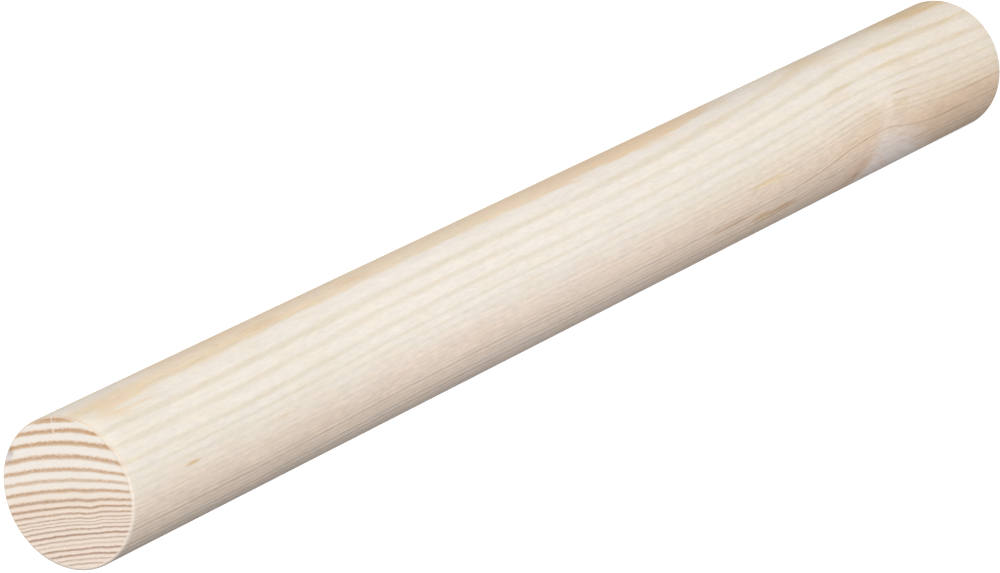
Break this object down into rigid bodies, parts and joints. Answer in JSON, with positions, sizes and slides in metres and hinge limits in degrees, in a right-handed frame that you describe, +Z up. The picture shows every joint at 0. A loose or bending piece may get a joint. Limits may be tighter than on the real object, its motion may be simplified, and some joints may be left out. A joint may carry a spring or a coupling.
{
  "type": "wooden dowel rod",
  "caption": "Straight round softwood dowel rod with square-sawn ends and lightly eased end edges, for pins, rails, spacers and handles.",
  "frame": {"origin": "centre of the bottom end face, on the surface that the rod stands on", "axes": "+Z up the rod's axis; +X towards the wide growth rings of the end grain"},
  "size_m": [0.028, 0.028, 0.32],
  "materials": {
    "softwood": "planed and lightly sanded, unfinished"
  },
  "bodies": {
    "root": {"dowel_rod": "softwood"}
  },
  "joints": []
}
